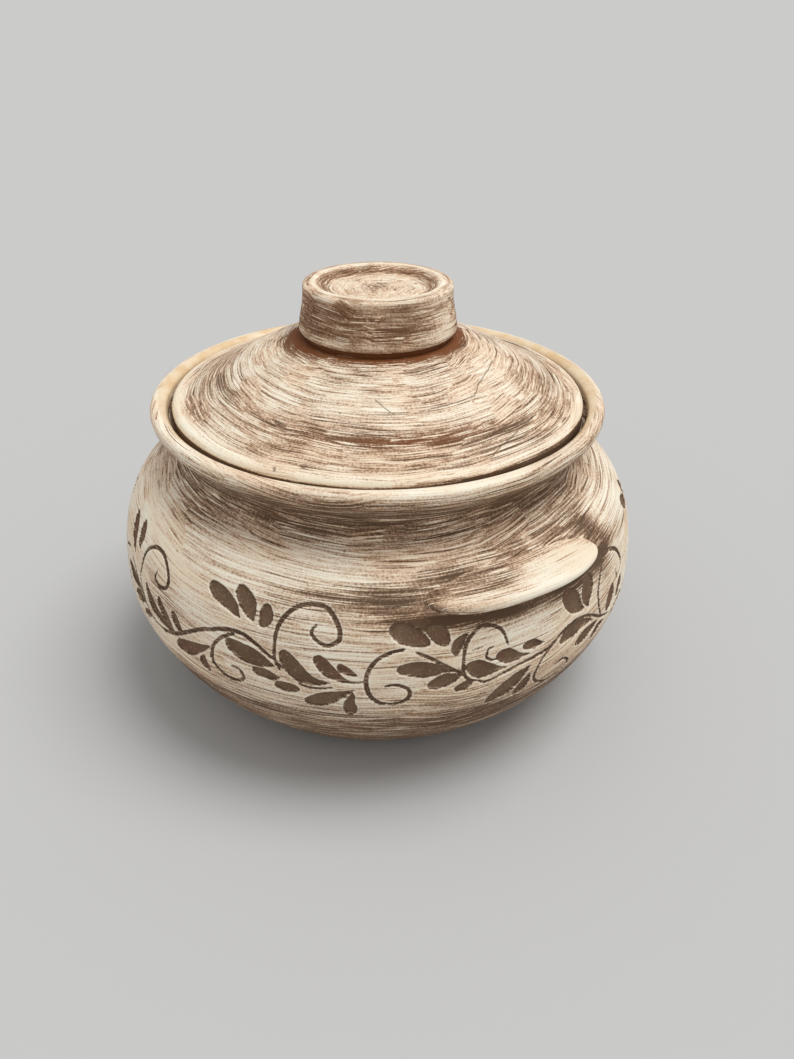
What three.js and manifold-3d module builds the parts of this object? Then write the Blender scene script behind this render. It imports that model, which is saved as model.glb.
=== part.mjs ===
// Lidded earthenware bowl: round belly, narrow neck, two ledge lugs and a domed lid with a knob.
// Millimetres, +Z up. The origin is the centre of the resting face, and the lugs lie on the X axis.
import * as THREE from 'three';
import { mergeVertices } from 'three/addons/utils/BufferGeometryUtils.js';
import Module from 'manifold-3d';

// Bowl, outside
const footRadius = 69;
const bellyRadius = 115.7;
const bellyHeight = 56.5;
const neckRadius = 86;
const neckAboveBelly = 53.5;
const rimOverhang = 11;
const rimAboveNeck = 20.5;

// Bowl, inside
const wallThickness = 6.5;
const floorThickness = 9;
const rimThickness = 7;
const rimBevel = 2.6;
const ledgeWidth = 8.5;
const ledgeDepth = 6.5;

// Lid
const lidClearance = 2;
const brimWidth = 7;
const brimThickness = 7.2;
const domeRise = 23.3;
const lidThickness = 6.5;

// Knob
const knobRadius = 33;
const knobTopRadius = 30.9;
const knobHeight = 22.1;
const knobGrooveDepth = 2.5;
const knobGrooveHeight = 2.8;
const knobSeatMargin = 3.5;
const knobDishRadius = 24;
const knobDishDepth = 3;

// Lugs
const lugAboveBelly = 35.5;
const lugHalfAngle = 22;
const lugReach = 10.6;
const lugThickness = 9;
const lugClearance = 0.3;

// Smoothness of the turned and lofted faces
const turnSegments = 60;
const knobSegments = 40;
const curveSteps = 7;
const lugSections = 25;

// Heights and radii that follow from the sizes above
const neckHeight = bellyHeight + neckAboveBelly;
const rimHeight = neckHeight + rimAboveNeck;
const rimRadius = neckRadius + rimOverhang;
const rimInnerRadius = rimRadius - rimThickness;
const ledgeHeight = rimHeight - ledgeDepth;
const lidRadius = rimInnerRadius - lidClearance;
const lidSeatInnerRadius = rimInnerRadius - ledgeWidth - lidClearance;
const brimTop = ledgeHeight + brimThickness;
const domeRadius = lidRadius - brimWidth;
const knobSeatHeight = brimTop + domeRise;
const knobStemRadius = knobRadius - knobGrooveDepth;
const knobSeatRadius = knobStemRadius + knobSeatMargin;

const point = (radius, height) => new THREE.Vector2(radius, height);

// Points along a cubic curve, without its first point
function curve(from, handleA, handleB, to, steps = curveSteps) {
  const points = new THREE.CubicBezierCurve(from, handleA, handleB, to).getPoints(steps);
  return points.slice(1);
}

// Solid turned about the Z axis from a profile that starts and ends on the axis
function turned(profile, segments = turnSegments) {
  const geometry = new THREE.LatheGeometry(profile, segments);
  geometry.rotateX(Math.PI / 2);
  return closed(geometry);
}

// Same surface with shared vertices merged and only positions left
function closed(geometry) {
  geometry.deleteAttribute('normal');
  geometry.deleteAttribute('uv');
  return mergeVertices(geometry, 1e-4);
}

// Outer wall from the belly up to the neck, grown outwards by a given amount
function upperWall(grow = 0) {
  const belly = point(bellyRadius + grow, bellyHeight);
  const bellyHandle = point(bellyRadius + grow, bellyHeight + 0.98 * neckAboveBelly + grow);
  const neckHandle = point(neckRadius + grow, neckHeight - 0.17 * neckAboveBelly + grow);
  const neck = point(neckRadius + grow, neckHeight + grow);
  return [belly, ...curve(belly, bellyHandle, neckHandle, neck, 2 * curveSteps)];
}

// Outer wall radius at a height between the belly and the neck
function wallRadiusAt(height) {
  const wall = upperWall();
  const above = wall.findIndex((p) => p.y >= height);
  const low = wall[above - 1];
  const high = wall[above];
  const share = (height - low.y) / (high.y - low.y);
  return THREE.MathUtils.lerp(low.x, high.x, share);
}

function bowlProfile() {
  const foot = point(footRadius, 0);
  const footHandle = point(footRadius + 0.55 * (bellyRadius - footRadius), 0);
  const belly = point(bellyRadius, bellyHeight);
  const bellyHandle = point(bellyRadius, 0.73 * bellyHeight);
  const outerLower = curve(foot, footHandle, bellyHandle, belly, curveSteps + 2);

  const neck = point(neckRadius, neckHeight);
  const lipEdge = point(rimRadius - 1.2, rimHeight - 0.3 * rimAboveNeck);
  const flare = curve(
    neck,
    point(neckRadius, neckHeight + 0.32 * rimAboveNeck),
    point(rimRadius - 0.4 * rimOverhang, neckHeight + 0.5 * rimAboveNeck),
    lipEdge,
    5,
  );
  const crown = point(rimRadius - 0.4 * rimThickness, rimHeight);
  const lip = curve(lipEdge, point(rimRadius + 0.8, rimHeight - 3), point(rimRadius, rimHeight), crown, 5);
  const innerEdge = point(rimInnerRadius, rimHeight - rimBevel);
  const innerLip = curve(
    crown,
    point(crown.x - 0.3 * rimThickness, rimHeight),
    point(rimInnerRadius + 0.5, rimHeight - 0.4 * rimBevel),
    innerEdge,
    3,
  );

  const ledgeOuter = point(rimInnerRadius, ledgeHeight);
  const ledgeInner = point(rimInnerRadius - ledgeWidth, ledgeHeight);
  const innerNeck = point(neckRadius - wallThickness, neckHeight);
  const throat = curve(
    ledgeInner,
    point(ledgeInner.x, ledgeHeight - 0.4 * (ledgeHeight - neckHeight)),
    point(innerNeck.x, neckHeight + 0.4 * (ledgeHeight - neckHeight)),
    innerNeck,
    3,
  );
  const innerBelly = point(bellyRadius - wallThickness, bellyHeight);
  const innerUpper = curve(
    innerNeck,
    point(innerNeck.x, neckHeight - 0.25 * neckAboveBelly),
    point(innerBelly.x, bellyHeight + 0.78 * neckAboveBelly),
    innerBelly,
    curveSteps + 3,
  );
  const floorEdge = point(footRadius - wallThickness, floorThickness);
  const innerLower = curve(
    innerBelly,
    point(innerBelly.x, 0.76 * bellyHeight),
    point(footRadius + 0.42 * (bellyRadius - footRadius), floorThickness),
    floorEdge,
  );

  const outer = [point(0, 0), foot, ...outerLower, ...upperWall().slice(1), ...flare, ...lip];
  const inner = [...innerLip, ledgeOuter, ledgeInner, ...throat, ...innerUpper, ...innerLower];
  return [...outer, ...inner, point(0, floorThickness)];
}

function lidProfile() {
  const seatInner = point(lidSeatInnerRadius, ledgeHeight);
  const hollowTop = point(knobSeatRadius, knobSeatHeight - lidThickness);
  const hollow = curve(
    hollowTop,
    point(knobSeatRadius + 0.35 * (domeRadius - knobSeatRadius), knobSeatHeight - lidThickness - 0.26 * domeRise),
    point(lidSeatInnerRadius - 6, ledgeHeight + 4),
    seatInner,
  );
  const edgeFoot = point(lidRadius, ledgeHeight);
  const edgeTop = point(lidRadius, ledgeHeight + 0.4 * brimThickness);
  const brim = curve(
    edgeTop,
    point(lidRadius, brimTop - 1.2),
    point(lidRadius - 1.6, brimTop - 0.3),
    point(lidRadius - 0.45 * brimWidth, brimTop),
    4,
  );
  const domeFoot = point(domeRadius, brimTop + 0.4);
  const domeEdge = point(knobSeatRadius + 2, knobSeatHeight - 0.6);
  const dome = curve(
    domeFoot,
    point(domeRadius - 0.24 * (domeRadius - knobSeatRadius), brimTop + 0.28 * domeRise),
    point(knobSeatRadius + 0.36 * (domeRadius - knobSeatRadius), brimTop + 0.74 * domeRise),
    domeEdge,
    curveSteps + 1,
  );
  const under = [point(0, hollowTop.y), hollowTop, ...hollow];
  const top = [edgeFoot, edgeTop, ...brim, domeFoot, ...dome, point(knobSeatRadius, knobSeatHeight)];
  return [...under, ...top, point(0, knobSeatHeight)];
}

function knobProfile() {
  const top = knobSeatHeight + knobHeight;
  const stemFoot = point(knobStemRadius, knobSeatHeight);
  const stemTop = point(knobStemRadius, knobSeatHeight + 0.5 * knobGrooveHeight);
  const skirt = point(knobRadius, knobSeatHeight + knobGrooveHeight);
  const side = curve(
    skirt,
    point(knobRadius - 0.4, knobSeatHeight + 0.4 * knobHeight),
    point(knobTopRadius - 0.2, knobSeatHeight + 0.6 * knobHeight),
    point(knobTopRadius, top - 1.6),
    4,
  );
  const shoulder = curve(
    point(knobTopRadius, top - 1.6),
    point(knobTopRadius, top - 0.5),
    point(knobTopRadius - 0.6, top),
    point(knobTopRadius - 1.8, top),
    3,
  );
  const dishEdge = point(knobDishRadius + 2, top);
  const dish = curve(
    dishEdge,
    point(knobDishRadius, top),
    point(knobDishRadius - 1.5, top - knobDishDepth),
    point(knobDishRadius - 4, top - knobDishDepth),
    4,
  );
  const foot = [point(0, knobSeatHeight), stemFoot, stemTop, skirt];
  return [...foot, ...side, ...shoulder, dishEdge, ...dish, point(0, top - knobDishDepth)];
}

// Section of a lug in the radial plane, from its root under the nose round to its root above
function lugSection(noseRadius, noseHeight, thickness) {
  const rootBelow = point(noseRadius - 2 * thickness, noseHeight - thickness);
  const lowerEdge = point(noseRadius - 0.3 * thickness, noseHeight - 0.46 * thickness);
  const upperEdge = point(noseRadius - 0.5 * thickness, noseHeight + 0.4 * thickness);
  const rootAbove = point(noseRadius - 3.2 * thickness, noseHeight + 1.4 * thickness);
  const nose = curve(
    lowerEdge,
    point(noseRadius + 0.06 * thickness, noseHeight - 0.36 * thickness),
    point(noseRadius + 0.06 * thickness, noseHeight + 0.28 * thickness),
    upperEdge,
    6,
  );
  const back = curve(
    upperEdge,
    point(noseRadius - 1.3 * thickness, noseHeight + 0.62 * thickness),
    point(noseRadius - 2.2 * thickness, noseHeight + 1.0 * thickness),
    rootAbove,
    4,
  );
  return [rootBelow, lowerEdge, ...nose, ...back];
}

// Closed loft through sections that stand in radial planes round the Z axis
function lugLoft() {
  const noseHeight = bellyHeight + lugAboveBelly;
  const wallRadius = wallRadiusAt(noseHeight);
  const overrun = 1.05;
  const positions = [];
  const triangles = [];
  let ringSize = 0;
  for (let i = 0; i < lugSections; i += 1) {
    const along = overrun * (2 * i / (lugSections - 1) - 1);
    const rise = 1 - Math.abs(along) ** 3.4;
    const thickness = lugThickness * (0.5 + 0.5 * Math.max(rise, 0) ** 0.6);
    const angle = THREE.MathUtils.degToRad(lugHalfAngle * along);
    const section = lugSection(wallRadius + lugReach * rise, noseHeight, thickness);
    ringSize = section.length;
    for (const p of section) positions.push(p.x * Math.cos(angle), p.x * Math.sin(angle), p.y);
  }
  for (let i = 0; i + 1 < lugSections; i += 1) {
    for (let j = 0; j < ringSize; j += 1) {
      const a = i * ringSize + j;
      const b = i * ringSize + (j + 1) % ringSize;
      triangles.push(a, b + ringSize, b, a, a + ringSize, b + ringSize);
    }
  }
  const last = (lugSections - 1) * ringSize;
  for (let j = 1; j + 1 < ringSize; j += 1) {
    triangles.push(0, j, j + 1);
    triangles.push(last, last + j + 1, last + j);
  }
  const geometry = new THREE.BufferGeometry();
  geometry.setAttribute('position', new THREE.Float32BufferAttribute(positions, 3));
  geometry.setIndex(triangles);
  return geometry;
}

const wasm = await Module();
wasm.setup();

function toSolid(geometry) {
  const vertProperties = new Float32Array(geometry.attributes.position.array);
  const triVerts = new Uint32Array(geometry.index.array);
  return new wasm.Manifold(new wasm.Mesh({ numProp: 3, vertProperties, triVerts }));
}

function toGeometry(solid) {
  const mesh = solid.getMesh();
  const geometry = new THREE.BufferGeometry();
  geometry.setAttribute('position', new THREE.BufferAttribute(mesh.vertProperties, 3));
  geometry.setIndex(new THREE.BufferAttribute(mesh.triVerts, 1));
  return geometry;
}

// A lug is the loft with the bowl's wall, grown by the clearance, cut out of its back
function lugGeometry() {
  const wall = upperWall(lugClearance);
  const top = wall[wall.length - 1].y;
  const cutter = turned([point(0, bellyHeight), ...wall, point(0, top)]);
  return toGeometry(toSolid(lugLoft()).subtract(toSolid(cutter)));
}

function piece(name, geometry, colour, roughness) {
  const material = new THREE.MeshStandardMaterial({ color: colour, roughness, metalness: 0 });
  const mesh = new THREE.Mesh(geometry, material);
  mesh.name = name;
  return mesh;
}

const lidded_bowl = new THREE.Group();
lidded_bowl.name = 'lidded_bowl';

lidded_bowl.add(piece('bowl', turned(bowlProfile()), 0xcdb79f, 0.82));
for (const [name, turn] of [['handle_right', 0], ['handle_left', Math.PI]]) {
  const lug = piece(name, lugGeometry(), 0xe6d5c0, 0.78);
  lug.rotation.z = turn;
  lidded_bowl.add(lug);
}

const lid = new THREE.Group();
lid.add(piece('lid', turned(lidProfile()), 0xc9b39a, 0.82));
lid.add(piece('lid_knob', turned(knobProfile(), knobSegments), 0xc2a98f, 0.82));
lidded_bowl.add(lid);

export default lidded_bowl;
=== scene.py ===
"""Lidded earthenware bowl: modelled pieces and finishes, laid out as an add-on.

The bowl, its two lugs, the lid and the knob are turned and shaped here, carved with a vine scroll
and finished in white slip brushed over brown clay. Lengths are in metres unless a name ends in _mm.
"""

import math

import bmesh
import bpy
import numpy as np
from bpy.props import FloatProperty, FloatVectorProperty, IntProperty, PointerProperty
from mathutils import Matrix, Vector


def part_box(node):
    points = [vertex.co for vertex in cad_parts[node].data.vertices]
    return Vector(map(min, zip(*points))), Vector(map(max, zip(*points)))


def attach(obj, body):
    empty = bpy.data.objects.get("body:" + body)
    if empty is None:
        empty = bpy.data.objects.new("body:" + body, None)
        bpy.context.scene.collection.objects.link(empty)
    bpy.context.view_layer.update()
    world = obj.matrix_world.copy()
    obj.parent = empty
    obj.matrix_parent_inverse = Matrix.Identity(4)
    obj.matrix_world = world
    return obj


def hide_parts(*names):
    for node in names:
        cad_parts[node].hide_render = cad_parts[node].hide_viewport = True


bl_info = {
    "name": "Lidded Earthenware Bowl",
    "version": (1, 0, 0),
    "blender": (4, 5, 0),
    "location": "3D View > Sidebar > Pottery",
    "description": "Models a carved, slip-brushed bowl with its lid, knob and lugs",
    "category": "Add Mesh",
}

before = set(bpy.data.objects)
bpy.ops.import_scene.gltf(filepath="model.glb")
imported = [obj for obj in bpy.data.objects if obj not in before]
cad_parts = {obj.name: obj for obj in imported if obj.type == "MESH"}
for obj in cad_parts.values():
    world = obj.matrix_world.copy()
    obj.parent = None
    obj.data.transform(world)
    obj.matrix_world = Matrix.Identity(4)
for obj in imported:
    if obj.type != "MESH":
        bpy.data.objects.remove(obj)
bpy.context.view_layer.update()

BOWL_LOW, BOWL_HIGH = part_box("bowl")
LID_LOW, LID_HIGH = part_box("lid")
KNOB_LOW, KNOB_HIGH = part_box("lid_knob")

MM = 0.001
# The side seen in the picture, as an angle from the +X axis. Decoration is placed from here.
FRONT_DEGREES = -29.5
# The middle of the lug in the picture, from the front
LUG_DEGREES = 29.5


def srgb(red, green, blue):
    """Scene colour of a colour written in 0 to 255 screen values."""
    return tuple(((c / 255 + 0.055) / 1.055) ** 2.4 if c > 10 else c / 3294 for c in (red, green, blue))


def length_property(name, description, default):
    return FloatProperty(
        name=name, description=description, default=default, subtype="DISTANCE", unit="LENGTH"
    )


def colour_property(name, description, default):
    return FloatVectorProperty(
        name=name, description=description, default=default, subtype="COLOR", size=3, min=0, max=1
    )


class BowlShape(bpy.types.PropertyGroup):
    foot_radius: length_property("Foot radius", "Radius of the flat resting face", 0.069)
    belly_radius: length_property(
        "Belly radius", "Largest radius of the wall", (BOWL_HIGH.x - BOWL_LOW.x) / 2
    )
    belly_height: length_property("Belly height", "Height of the widest part", 0.0565)
    neck_radius: length_property("Neck radius", "Smallest radius, under the rim", 0.086)
    neck_height: length_property("Neck height", "Height of the narrowest part", 0.110)
    rim_radius: length_property("Rim radius", "Outer radius of the flared rim", 0.097)
    rim_height: length_property("Rim height", "Height of the rim's crown", BOWL_HIGH.z)
    wall: length_property("Wall", "Thickness of the thrown wall", 0.0065)
    floor: length_property("Floor", "Thickness of the floor", 0.009)
    ledge_height: length_property("Ledge height", "Height of the ledge that carries the lid", LID_LOW.z)
    ledge_radius: length_property("Ledge radius", "Inner radius of the ledge", 0.0815)
    mouth_radius: length_property("Mouth radius", "Inner radius of the rim above the ledge", 0.090)
    carving_depth: length_property("Carving depth", "Depth of the carved scroll", 0.0011)


class LugShape(bpy.types.PropertyGroup):
    half_angle: FloatProperty(
        name="Half angle", description="Angle from a lug's middle to its end", default=math.radians(21.2),
        subtype="ANGLE", unit="ROTATION",
    )
    height: length_property("Height", "Height of a lug's nose", 0.093)
    roughness: length_property("Hand marks", "Unevenness left by the fingers", 0.0005)


class LidShape(bpy.types.PropertyGroup):
    radius: length_property("Radius", "Outer radius of the brim", LID_HIGH.x)
    brim_width: length_property("Brim width", "Width of the level brim", 0.007)
    brim_thickness: length_property("Brim thickness", "Height of the brim above the ledge", 0.0072)
    wall: length_property("Wall", "Thickness of the dome", 0.0065)
    knob_radius: length_property("Knob radius", "Largest radius of the knob", KNOB_HIGH.x)
    knob_top_radius: length_property("Knob top radius", "Radius at the knob's top edge", 0.0309)
    groove_depth: length_property("Groove depth", "How far the groove under the knob is cut in", 0.0025)
    dish_radius: length_property("Dish radius", "Radius of the dish in the knob's top", 0.0245)
    dish_depth: length_property("Dish depth", "Depth of the dish in the knob's top", 0.003)


class SlipFinish(bpy.types.PropertyGroup):
    clay: colour_property("Clay", "Bare brown clay between the brush lines", srgb(98, 76, 56))
    stain: colour_property("Stain", "Clay with a trace of slip rubbed in", srgb(148, 120, 96))
    film: colour_property("Film", "Clay seen through thin slip", srgb(194, 164, 136))
    slip: colour_property("Slip", "Brushed white slip", srgb(236, 214, 188))
    cream: colour_property("Cream", "Thick slip on edges and high places", srgb(255, 247, 226))
    # Its dark value is partly painted shade for the groove and the ring under the knob, which lie in the
    # knob's shadow.
    warm: colour_property("Warm clay", "Reddish clay in grooves", srgb(126, 74, 34))
    carved: colour_property("Carved clay", "Clay in the floor of the carving", srgb(110, 85, 64))
    carved_pale: colour_property("Pale carved clay", "Mottling in the carving", srgb(122, 97, 74))
    carved_red: colour_property("Red carved clay", "Patches in the carving", srgb(112, 74, 57))
    # Painted shade: darkens the carved floor along the foot of each cut's wall.
    cut_edge_shade: colour_property("Carved edge", "Shade at the foot of a cut", srgb(74, 54, 40))
    tint: colour_property("Tint", "Warm tint in the cross brushing", srgb(246, 226, 208))
    glaze: colour_property("Glaze", "Ochre glaze inside", srgb(247, 227, 194))
    glaze_dark: colour_property("Dark glaze", "Clouds in the glaze", srgb(230, 194, 144))
    line_width: length_property("Line width", "Width of a brush line", 0.0008)


class StageSettings(bpy.types.PropertyGroup):
    floor_colour: colour_property("Floor", "Colour of the floor", srgb(198, 198, 197))
    sky_strength: FloatProperty(name="Sky", description="Strength of the even light", default=0.55, min=0)
    key_strength: FloatProperty(
        name="Key light", description="Strength of the soft overhead light", default=1.7, min=0
    )
    lens: FloatProperty(name="Lens", description="Focal length for a 36 mm long side", default=29.12)
    segments: IntProperty(
        name="Segments", description="Steps round the bowl and the lid", default=300, min=24
    )
    knob_segments: IntProperty(name="Knob segments", description="Steps round the knob", default=160, min=24)


SETTINGS = {
    "pottery_bowl": BowlShape,
    "pottery_lugs": LugShape,
    "pottery_lid": LidShape,
    "pottery_slip": SlipFinish,
    "pottery_stage": StageSettings,
}


# Outlines

def curve(start, handle_a, handle_b, end, steps=24):
    """Points of a cubic curve from start to end, without start."""
    points = []
    for i in range(1, steps + 1):
        t = i / steps
        u = 1 - t
        weights = (u**3, 3 * u * u * t, 3 * u * t * t, t**3)
        corners = (start, handle_a, handle_b, end)
        points.append(tuple(sum(w * c[k] for w, c in zip(weights, corners)) for k in (0, 1)))
    return points


def lengths_along(points):
    """Distance along an outline to each of its points."""
    steps = np.linalg.norm(np.diff(np.array(points), axis=0), axis=1)
    return np.concatenate([[0.0], np.cumsum(steps)])


def evenly(points, spacing):
    """The same outline with its points a given distance apart, without its first point."""
    along = lengths_along(points)
    count = max(1, round(along[-1] / spacing))
    places = np.linspace(0, along[-1], count + 1)[1:]
    radii = np.interp(places, along, [p[0] for p in points])
    heights = np.interp(places, along, [p[1] for p in points])
    return list(zip(radii, heights))


def outer_wall(shape):
    """Outside of the bowl from its foot to its neck."""
    foot = (shape.foot_radius, 0.0)
    belly = (shape.belly_radius, shape.belly_height)
    neck = (shape.neck_radius, shape.neck_height)
    rise = shape.neck_height - shape.belly_height
    spread = shape.belly_radius - shape.foot_radius
    lower = curve(foot, (shape.foot_radius + 0.55 * spread, 0.0), (belly[0], 0.73 * belly[1]), belly, 60)
    upper = curve(belly, (belly[0], belly[1] + 0.98 * rise), (neck[0], neck[1] - 0.17 * rise), neck, 60)
    return [foot, *lower, *upper]


def wall_in_mm(shape):
    """Radius and height, in mm, of the points of the outer wall."""
    return (np.array(outer_wall(shape)) / MM).T


def run_along(outline, radius, height):
    """Distance along an outline, in metres, of the point on it that is nearest to each place in mm."""
    points = np.array(outline) / MM
    along = lengths_along(points)
    nearest = np.full(len(radius), np.inf)
    run = np.zeros(len(radius))
    for start, end, low, high in zip(points, points[1:], along, along[1:]):
        step = end - start
        share = np.clip(((radius - start[0]) * step[0] + (height - start[1]) * step[1]) / (step @ step), 0, 1)
        gap = np.hypot(radius - start[0] - share * step[0], height - start[1] - share * step[1])
        closer = gap < nearest
        nearest[closer] = gap[closer]
        run[closer] = (low + share * (high - low))[closer]
    return run * MM


def split_at(points, height):
    """An outline that rises, cut in two at a height."""
    place = next(i for i, p in enumerate(points) if p[1] >= height)
    low, high = points[place - 1], points[place]
    share = (height - low[1]) / (high[1] - low[1])
    cut = (low[0] + share * (high[0] - low[0]), height)
    return points[:place] + [cut], [cut] + points[place:]


# Heights between which the wall has the even rings that the carving needs
BAND_LOW = 0.0365
BAND_HIGH = 0.0990
# Spacing of the rings along an outline
FOOT_STEP, WALL_STEP, FLARE_STEP, LIP_STEP = 0.0036, 0.0022, 0.0018, 0.0009
THROAT_STEP, INSIDE_STEP = 0.004, 0.006
DOME_STEP, HOLLOW_STEP, BRIM_STEP = 0.0011, 0.003, 0.0008
KNOB_SIDE_STEP, KNOB_EDGE_STEP, KNOB_TOP_STEP, DISH_STEP = 0.0012, 0.0006, 0.001, 0.0007
# Bevel on the ledge's corners and on the edge of the lid
EASED = 0.0006
LID_EASED = 0.0007


def bowl_outline(shape):
    """Section of the bowl, from the axis under its foot round to the axis on its floor."""
    below, rest = split_at(outer_wall(shape), BAND_LOW)
    band, above = split_at(rest, BAND_HIGH)
    neck = above[-1]
    rim, top, ledge = shape.rim_radius, shape.rim_height, shape.ledge_height
    lip_edge = (rim - 0.0012, top - 0.0062)
    flare = curve(neck, (neck[0], neck[1] + 0.0066), (rim - 0.0044, neck[1] + 0.0103), lip_edge)
    crown = (rim - 0.0028, top)
    lip = curve(lip_edge, (rim + 0.0008, top - 0.003), (rim, top), crown)
    mouth = (shape.mouth_radius, top - 0.0026)
    roll = curve(crown, (crown[0] - 0.0021, top), (mouth[0] + 0.0005, top - 0.001), mouth)
    ledge_outer = (shape.mouth_radius, ledge + EASED)
    ledge_corner = (shape.mouth_radius - EASED, ledge)
    ledge_inner = (shape.ledge_radius + EASED, ledge)
    ledge_lip = (shape.ledge_radius, ledge - EASED)
    throat_end = (neck[0] - shape.wall, neck[1])
    bend = 0.4 * (ledge_lip[1] - throat_end[1])
    throat = curve(
        ledge_lip, (ledge_lip[0], ledge_lip[1] - bend), (throat_end[0], neck[1] + bend), throat_end
    )
    belly = (shape.belly_radius - shape.wall, shape.belly_height)
    rise = neck[1] - belly[1]
    upper = curve(
        throat_end, (throat_end[0], neck[1] - 0.25 * rise), (belly[0], belly[1] + 0.78 * rise), belly
    )
    floor_edge = (shape.foot_radius - shape.wall, shape.floor)
    turn_in = shape.foot_radius + 0.42 * (shape.belly_radius - shape.foot_radius)
    lower = curve(belly, (belly[0], 0.76 * belly[1]), (turn_in, shape.floor), floor_edge)
    outside = [
        (0.0, 0.0), (0.4 * shape.foot_radius, 0.0), below[0],
        *evenly(below, FOOT_STEP), *evenly(band, WALL_STEP), *evenly(above, WALL_STEP),
        *evenly([neck, *flare], FLARE_STEP), *evenly([lip_edge, *lip], LIP_STEP),
    ]
    inside = [
        *evenly([crown, *roll], LIP_STEP), ledge_outer, ledge_corner, ledge_inner, ledge_lip,
        *evenly([ledge_lip, *throat], THROAT_STEP), *evenly([throat_end, *upper], INSIDE_STEP),
        *evenly([belly, *lower], INSIDE_STEP), (0.5 * floor_edge[0], shape.floor),
    ]
    return [*outside, *inside, (0.0, shape.floor)]


def lid_outline(shape, ledge):
    """Section of the lid, from the axis under its dome round to the axis under the knob."""
    seat_top = KNOB_LOW.z
    seat_radius = shape.knob_radius - shape.groove_depth + 0.0035
    hollow_top = (seat_radius, seat_top - shape.wall)
    seat_inner = (shape.radius - 0.0085, ledge)
    dome_radius = shape.radius - shape.brim_width
    brim_top = ledge + shape.brim_thickness
    rise = seat_top - brim_top
    span = dome_radius - seat_radius
    hollow = curve(
        hollow_top, (seat_radius + 0.35 * span, hollow_top[1] - 0.26 * rise),
        (seat_inner[0] - 0.006, ledge + 0.004), seat_inner,
    )
    foot = (shape.radius - LID_EASED, ledge)
    edge_low = (shape.radius, ledge + LID_EASED)
    edge_high = (shape.radius, ledge + 0.0032)
    brim_inner = (shape.radius - 0.0034, brim_top)
    brim = curve(
        edge_high, (shape.radius, brim_top - 0.0012), (shape.radius - 0.0014, brim_top - 0.0001), brim_inner
    )
    dome_foot = (dome_radius, brim_top + 0.0003)
    dome_top = (seat_radius + 0.002, seat_top - 0.0006)
    dome = curve(
        dome_foot, (dome_radius - 0.24 * span, brim_top + 0.28 * rise),
        (seat_radius + 0.36 * span, brim_top + 0.74 * rise), dome_top, 40,
    )
    return [
        (0.0, hollow_top[1]), (0.6 * seat_radius, hollow_top[1]), hollow_top,
        *evenly([hollow_top, *hollow], HOLLOW_STEP), foot, edge_low, edge_high,
        *evenly([edge_high, *brim], BRIM_STEP), dome_foot, *evenly([dome_foot, *dome], DOME_STEP),
        (seat_radius, seat_top), (0.8 * seat_radius, seat_top), (0.0, seat_top),
    ]


def knob_outline(shape):
    """Section of the knob, from the axis at its seat round to the axis in its dish."""
    base, top = KNOB_LOW.z, KNOB_HIGH.z
    stem = shape.knob_radius - shape.groove_depth
    skirt_low = (shape.knob_radius - 0.0005, base + 0.0026)
    skirt = (shape.knob_radius, base + 0.0034)
    edge = (shape.knob_top_radius, top - 0.0018)
    side = curve(skirt, (skirt[0] - 0.0002, base + 0.009), (edge[0] - 0.0003, base + 0.013), edge)
    flat_outer = (edge[0] - 0.0020, top - 0.0002)
    shoulder = curve(edge, (edge[0], top - 0.0007), (edge[0] - 0.0007, top - 0.0003), flat_outer)
    crest = (shape.dish_radius + 0.0018, top)
    dish_floor = (shape.dish_radius - 0.0042, top - shape.dish_depth)
    dish = curve(crest, (crest[0] - 0.0016, top), (dish_floor[0] + 0.0016, dish_floor[1]), dish_floor)
    ridge_height, ridge_spacing, button_height, button_radius = 0.00022, 0.0034, 0.0006, 0.003
    rings = []
    count = 41
    for i in range(1, count):
        radius = dish_floor[0] * (1 - i / count)
        ridge = ridge_height * math.cos(radius / ridge_spacing * 2 * math.pi)
        button = button_height * math.exp(-((radius / button_radius) ** 2))
        rings.append((radius, dish_floor[1] + ridge + button))
    foot = [(0.0, base), (0.5 * stem, base), (stem, base), (stem, base + 0.0016), skirt_low, skirt]
    return [
        *foot, *evenly([skirt, *side], KNOB_SIDE_STEP), *evenly([edge, *shoulder], KNOB_EDGE_STEP),
        *evenly([flat_outer, crest], KNOB_TOP_STEP), *evenly([crest, *dish], DISH_STEP),
        *rings, (0.0, rings[-1][1]),
    ]


# Modelling

def deselect():
    bpy.ops.object.select_all(action="DESELECT")


def choose(piece):
    """Makes a piece the active one, and the only one that is selected."""
    deselect()
    piece.select_set(True)
    bpy.context.view_layer.objects.active = piece


def turn(name, outline, segments):
    """A turned piece: one ring is drawn up along the outline, and both ends close on the axis."""
    radius, height = outline[1]
    deselect()
    bpy.ops.mesh.primitive_circle_add(
        vertices=segments, radius=radius, fill_type="TRIFAN", location=(0, 0, height)
    )
    piece = bpy.context.object
    piece.name = name
    piece.data.name = name
    bpy.ops.object.transform_apply(location=True, rotation=True, scale=True)
    bpy.ops.object.mode_set(mode="EDIT")
    bpy.ops.mesh.select_mode(type="EDGE")
    bpy.ops.mesh.select_all(action="DESELECT")
    bpy.ops.mesh.select_non_manifold(
        extend=False, use_wire=False, use_multi_face=False, use_non_contiguous=False, use_verts=False
    )
    for next_radius, next_height in outline[2:-1]:
        bpy.ops.mesh.extrude_region_move(TRANSFORM_OT_translate={"value": (0, 0, next_height - height)})
        share = next_radius / radius
        bpy.ops.transform.resize(value=(share, share, 1), center_override=(0, 0, 0))
        radius, height = next_radius, next_height
    bpy.ops.mesh.extrude_region_move(TRANSFORM_OT_translate={"value": (0, 0, outline[-1][1] - height)})
    bpy.ops.mesh.merge(type="CENTER")
    bpy.ops.mesh.select_all(action="SELECT")
    bpy.ops.mesh.normals_make_consistent(inside=False)
    bpy.ops.object.mode_set(mode="OBJECT")
    return piece


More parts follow.
